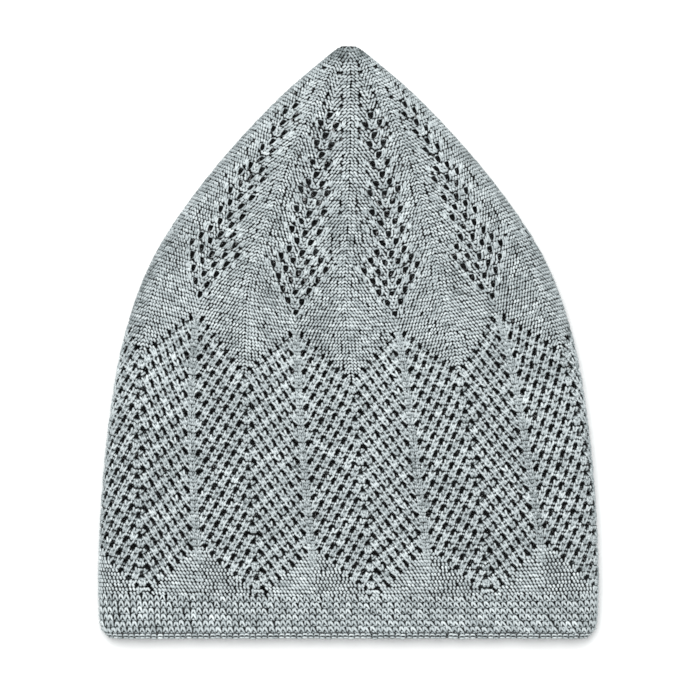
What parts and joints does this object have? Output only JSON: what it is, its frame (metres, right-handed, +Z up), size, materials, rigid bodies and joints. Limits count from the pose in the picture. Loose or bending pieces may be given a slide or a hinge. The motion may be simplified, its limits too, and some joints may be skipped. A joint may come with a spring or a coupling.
{
  "type": "knit prayer cap",
  "caption": "Pointed knitted prayer cap lying flat, a hollow soft shell with a chevron lace side, lace diamonds on the crown and a ridged band round its open rim.",
  "frame": {"origin": "on the resting plane under the middle of the lying cap, halfway between the rim and the tip", "axes": "+X to the right across the flat cap, +Y from the rim to the tip, +Z up out of the upper layer"},
  "size_m": [0.22, 0.26, 0.0126],
  "materials": {
    "grey_knit": "machine-knitted pale grey yarn with a soft sheen, lace eyelets",
    "grey_ridged_knit": "the same pale grey yarn in firm cross-ridged knitting"
  },
  "bodies": {
    "root": {"cap_body": "grey_knit", "hem_band": "grey_ridged_knit"}
  },
  "joints": []
}
